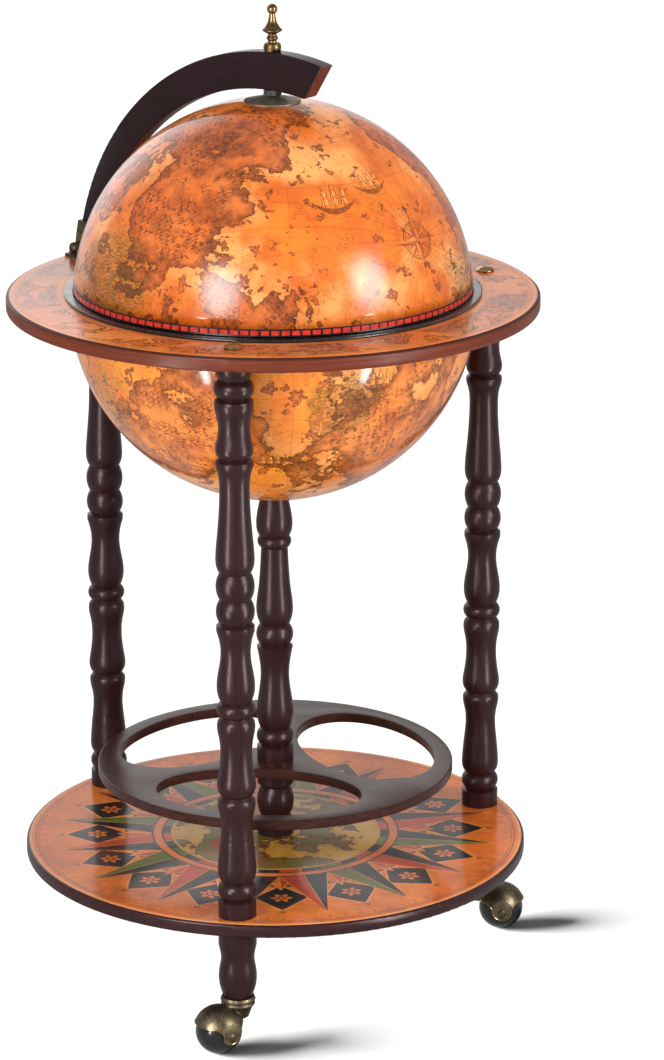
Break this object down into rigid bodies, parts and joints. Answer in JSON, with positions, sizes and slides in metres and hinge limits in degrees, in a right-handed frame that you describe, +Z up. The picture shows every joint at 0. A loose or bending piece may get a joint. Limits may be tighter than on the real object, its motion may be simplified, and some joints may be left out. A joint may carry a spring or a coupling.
{
  "type": "floor globe bar",
  "caption": "Floor-standing globe drinks cabinet: hinged half-globe lid on a wooden arm, table ring, turned legs, bottle rack over a round shelf, ball casters.",
  "frame": {"origin": "on the floor, under the globe's vertical axis", "axes": "+Z up; the front leg is towards -Y and the lid's hinge over the left leg at the back"},
  "size_m": [0.445, 0.449, 0.8398],
  "materials": {
    "espresso_wood": "dark espresso stain, satin lacquer",
    "ring_wood": "red-brown stain, satin lacquer",
    "base_print": "printed sheet under gloss varnish",
    "ring_print": "printed sheet under gloss varnish",
    "globe_print": "printed shell under gloss varnish",
    "band_print": "printed strip, gloss",
    "black_trim": "gloss black",
    "tray_laminate": "printed laminate, satin",
    "brass": "aged brass, polished",
    "antique_bronze": "antique bronze, brushed",
    "steel": "zinc plated",
    "wheel_black": "moulded black"
  },
  "bodies": {
    "frame": {"base_board": "espresso_wood", "base_print": "base_print", "ring_board": "ring_wood", "ring_print": "ring_print", "leg_front": "espresso_wood", "foot_front": "espresso_wood", "leg_right": "espresso_wood", "foot_right": "espresso_wood", "leg_left": "espresso_wood", "foot_left": "espresso_wood", "leg_studs": "steel", "ring_screws": "brass", "column_upper": "espresso_wood", "column_lower": "espresso_wood", "bottle_rack": "espresso_wood", "tie_rod": "steel", "tie_washers": "steel", "tie_nuts": "steel", "bowl": "globe_print", "bowl_screws": "steel", "rim_trim": "black_trim", "serving_tray": "tray_laminate", "hinge_leaf": "antique_bronze", "leaf_screws": "antique_bronze", "hinge_pin": "antique_bronze", "caster_sockets": "steel"},
    "lid_arm": {"arm": "espresso_wood", "arm_shoe": "antique_bronze", "shoe_rivets": "antique_bronze", "pole_nuts": "antique_bronze", "pole_washer": "steel", "finial": "brass", "pole_rod": "steel"},
    "dome": {"dome": "globe_print", "rim_band": "band_print", "pole_flange": "antique_bronze"},
    "caster_front": {"caster_stem_front": "steel", "caster_hood_front": "antique_bronze", "caster_axle_front": "antique_bronze"},
    "wheel_front": {"caster_wheel_front": "wheel_black"},
    "caster_right": {"caster_stem_right": "steel", "caster_hood_right": "antique_bronze", "caster_axle_right": "antique_bronze"},
    "wheel_right": {"caster_wheel_right": "wheel_black"},
    "caster_left": {"caster_stem_left": "steel", "caster_hood_left": "antique_bronze", "caster_axle_left": "antique_bronze"},
    "wheel_left": {"caster_wheel_left": "wheel_black"}
  },
  "joints": [
    {"name": "lid_hinge", "type": "hinge", "parent": "frame", "child": "lid_arm", "pos_m": [-0.18169, 0.1049, 0.6069], "axis": [-0.5, -0.866, 0], "range_deg": [0, 90]},
    {"name": "dome_spin", "type": "hinge", "parent": "lid_arm", "child": "dome", "pos_m": [0, 0, 0.7607], "axis": [0, 0, 1], "continuous": true},
    {"name": "caster_swivel_front", "type": "hinge", "parent": "frame", "child": "caster_front", "pos_m": [0, -0.192, 0.046], "axis": [0, 0, 1], "continuous": true},
    {"name": "wheel_roll_front", "type": "hinge", "parent": "caster_front", "child": "wheel_front", "pos_m": [-0.01364, -0.20663, 0.0193], "axis": [0.7314, -0.682, 0], "continuous": true},
    {"name": "caster_swivel_right", "type": "hinge", "parent": "frame", "child": "caster_right", "pos_m": [0.16628, 0.096, 0.046], "axis": [0, 0, 1], "continuous": true},
    {"name": "wheel_roll_right", "type": "hinge", "parent": "caster_right", "child": "wheel_right", "pos_m": [0.186, 0.0993, 0.0193], "axis": [-0.165, 0.9863, 0], "continuous": true},
    {"name": "caster_swivel_left", "type": "hinge", "parent": "frame", "child": "caster_left", "pos_m": [-0.16628, 0.096, 0.046], "axis": [0, 0, 1], "continuous": true},
    {"name": "wheel_roll_left", "type": "hinge", "parent": "caster_left", "child": "wheel_left", "pos_m": [-0.17775, 0.11238, 0.0193], "axis": [-0.8192, -0.5736, 0], "continuous": true}
  ]
}
